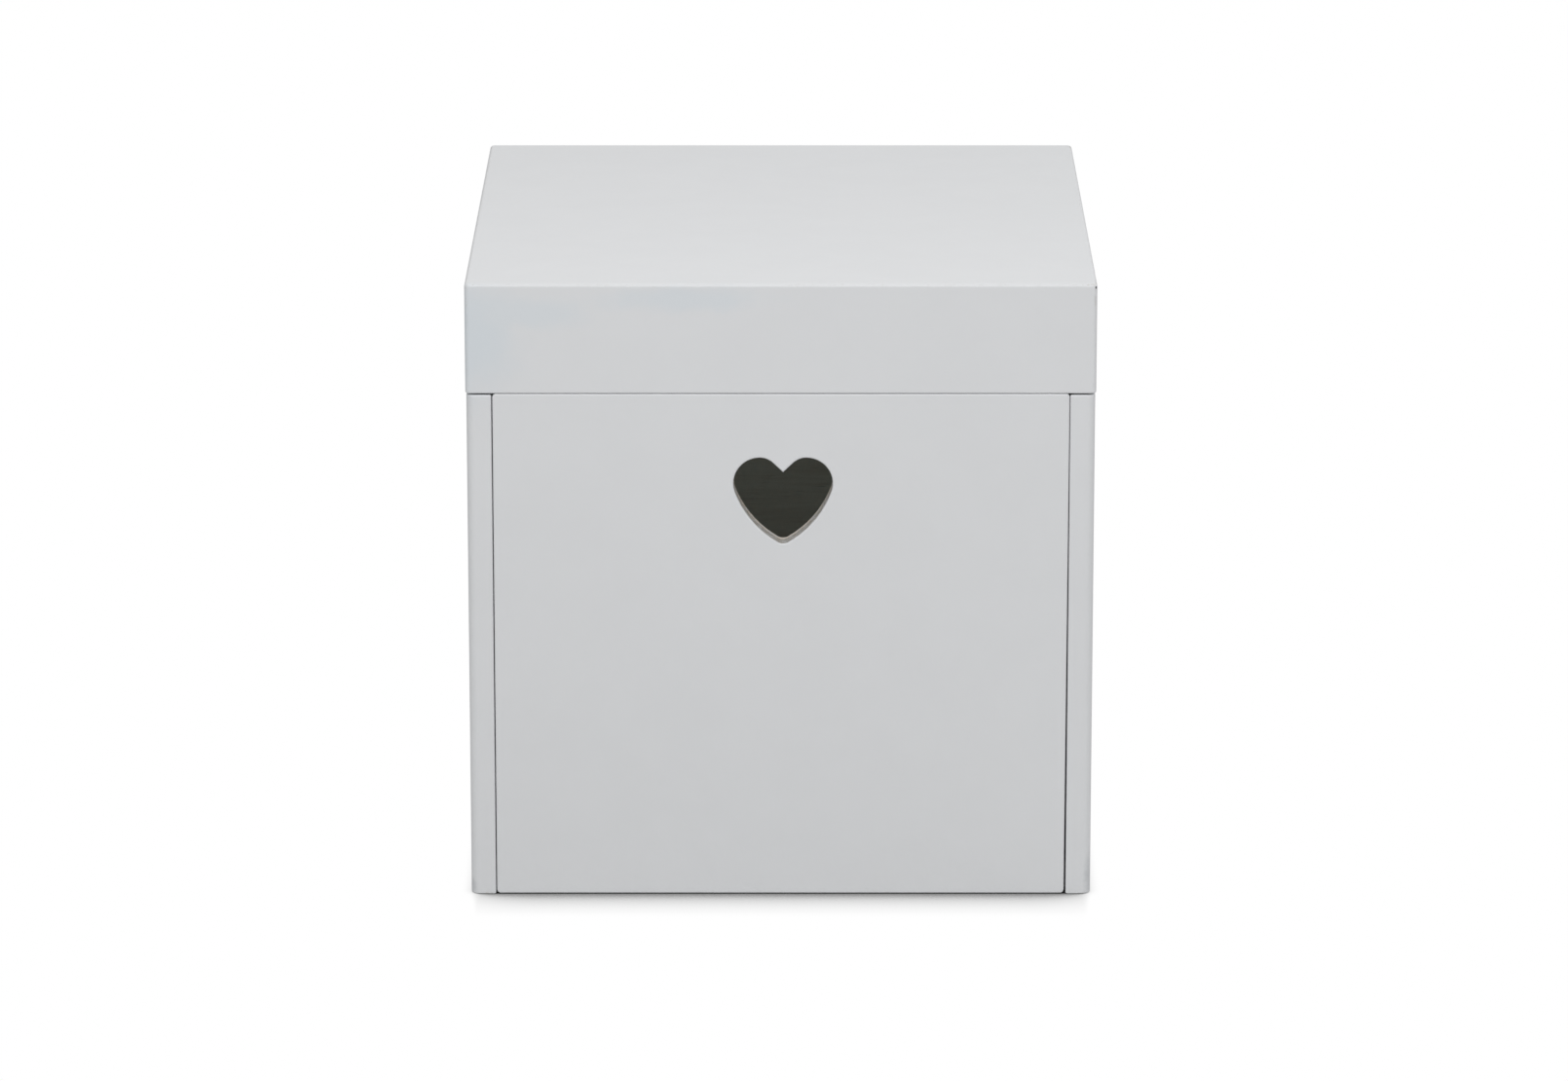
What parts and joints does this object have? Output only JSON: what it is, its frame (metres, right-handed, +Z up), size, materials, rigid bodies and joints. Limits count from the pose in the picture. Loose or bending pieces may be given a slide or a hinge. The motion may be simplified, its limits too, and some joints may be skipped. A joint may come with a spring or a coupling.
{
  "type": "wind-up music box",
  "caption": "White painted wooden music box with a hinged lid, a drawer with a heart-shaped finger hole, and a clockwork movement wound by a key at the back.",
  "frame": {"origin": "centre of the case's footprint on the surface it stands on", "axes": "+X to the right seen from the front, +Y to the back where the key is, +Z up"},
  "size_m": [0.1504, 0.1894, 0.1514],
  "materials": {
    "painted_board": "satin white paint on board",
    "bare_board": "sanded, unpainted",
    "felt": "wool felt",
    "brass": "plain brass",
    "brass_screws": "plain brass",
    "steel": "bright steel",
    "spring_steel": "hardened steel",
    "cast_metal": "as cast",
    "lead": "dull",
    "plastic": "moulded, off-white",
    "rubber": "soft"
  },
  "bodies": {
    "case": {"left_side": "painted_board", "right_side": "painted_board", "back_panel": "painted_board", "base_panel": "painted_board", "tray_deck": "painted_board", "tray_felt": "felt", "drawer_stop": "bare_board", "left_hinge_case_leaf": "brass", "right_hinge_case_leaf": "brass", "hinge_pins": "steel", "hinge_case_screws": "brass_screws", "bedplate": "cast_metal", "movement_screws": "steel", "spring_housing": "brass", "mainspring": "spring_steel", "comb": "spring_steel", "comb_weights": "lead", "comb_screws": "steel", "governor_cock": "cast_metal", "cock_screw": "steel", "stop_bush": "plastic", "stop_spring": "spring_steel"},
    "lid": {"lid_top": "painted_board", "lid_front_rail": "painted_board", "lid_back_rail": "painted_board", "lid_left_rail": "painted_board", "lid_right_rail": "painted_board", "left_hinge_lid_leaf": "brass", "right_hinge_lid_leaf": "brass", "hinge_lid_screws": "brass_screws"},
    "drawer": {"drawer_front": "painted_board", "drawer_left_side": "bare_board", "drawer_right_side": "bare_board", "drawer_back": "bare_board", "drawer_bottom": "bare_board", "drawer_felt": "felt"},
    "drive": {"drive_gear": "brass", "click": "spring_steel", "click_rivet": "steel"},
    "winding": {"winding_arbor": "steel", "ratchet_wheel": "brass", "arbor_clip": "steel", "winding_key": "brass"},
    "cylinder": {"pinned_cylinder": "brass", "cylinder_shaft": "steel", "cylinder_pinion": "steel", "cylinder_wheel": "brass"},
    "governor": {"governor_arbor": "steel", "worm_wheel": "brass"},
    "fly": {"worm_shaft": "steel", "fly": "plastic"},
    "stop": {"stop_rod": "steel", "stop_pad": "rubber", "stop_cap": "plastic"}
  },
  "joints": [
    {"name": "lid_hinge", "type": "hinge", "parent": "case", "child": "lid", "pos_m": [0, 0.0805, 0.1245], "axis": [-1, 0, 0], "range_deg": [0, 95]},
    {"name": "drawer_slide", "type": "slide", "parent": "case", "child": "drawer", "axis": [0, -1, 0], "range_m": [0, 0.095]},
    {"name": "cylinder_turn", "type": "hinge", "parent": "case", "child": "cylinder", "pos_m": [0.0154, 0.06594, 0.062], "axis": [1, 0, 0], "continuous": true},
    {"name": "drive_turn", "type": "hinge", "parent": "case", "child": "drive", "pos_m": [0, 0.0765, 0.062], "axis": [0, -1, 0], "continuous": true},
    {"name": "winding_turn", "type": "hinge", "parent": "drive", "child": "winding", "pos_m": [0, 0.0765, 0.062], "axis": [0, -1, 0], "range_deg": [0, 2340]},
    {"name": "governor_turn", "type": "hinge", "parent": "case", "child": "governor", "pos_m": [0.04106, 0.06594, 0.071], "axis": [1, 0, 0], "continuous": true},
    {"name": "fly_turn", "type": "hinge", "parent": "case", "child": "fly", "pos_m": [0.04106, 0.06594, 0.0774], "axis": [0, -1, 0], "continuous": true},
    {"name": "stop_slide", "type": "slide", "parent": "case", "child": "stop", "axis": [0, 0, 1], "range_m": [0, 0.003], "deforming": ["stop_spring"]}
  ],
  "couplings": [
    {"joint": "drive_turn", "follows": "cylinder_turn", "ratio": -0.375},
    {"joint": "governor_turn", "follows": "cylinder_turn", "ratio": -4},
    {"joint": "fly_turn", "follows": "cylinder_turn", "ratio": 48},
    {"joint": "stop_slide", "follows": "lid_hinge", "m_per_rad": 0.001809}
  ]
}
